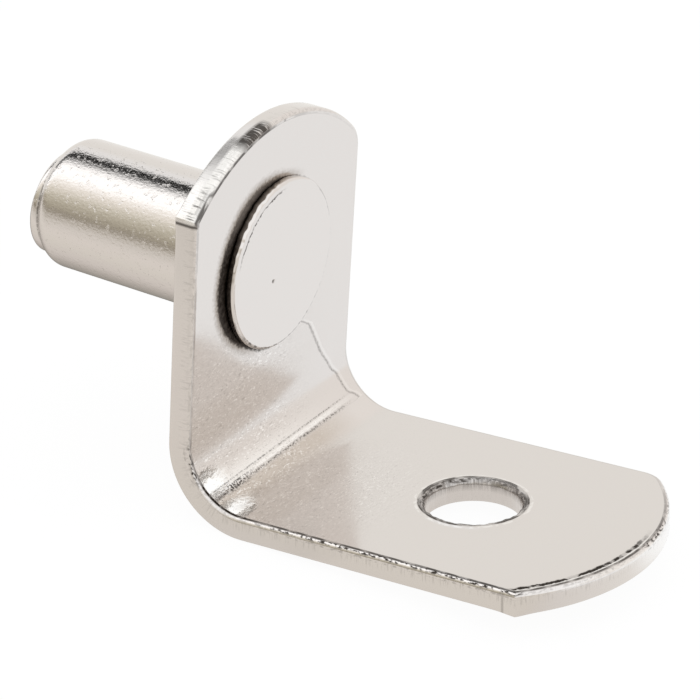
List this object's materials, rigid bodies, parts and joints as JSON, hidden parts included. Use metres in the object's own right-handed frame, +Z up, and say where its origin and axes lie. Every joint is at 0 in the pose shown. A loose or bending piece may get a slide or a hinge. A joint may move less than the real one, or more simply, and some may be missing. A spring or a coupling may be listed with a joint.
{
  "type": "shelf support pin",
  "caption": "L-shaped plated steel shelf support: a bent strip with arc-cut ends and a screw hole, and a riveted pin for a drilled cabinet side.",
  "frame": {"origin": "on the pin's axis, in the back face of the upright leg that lies against the cabinet side", "axes": "+Z up, +Y along the pin into the cabinet side, -Y along the level leg under the shelf, X across the strip"},
  "size_m": [0.0108, 0.0255, 0.014],
  "materials": {
    "plated_sheet": "bright nickel plating on stamped sheet steel",
    "plated_pin": "bright nickel plating on a turned and riveted steel pin"
  },
  "bodies": {
    "root": {"bracket": "plated_sheet", "pin": "plated_pin"}
  },
  "joints": []
}
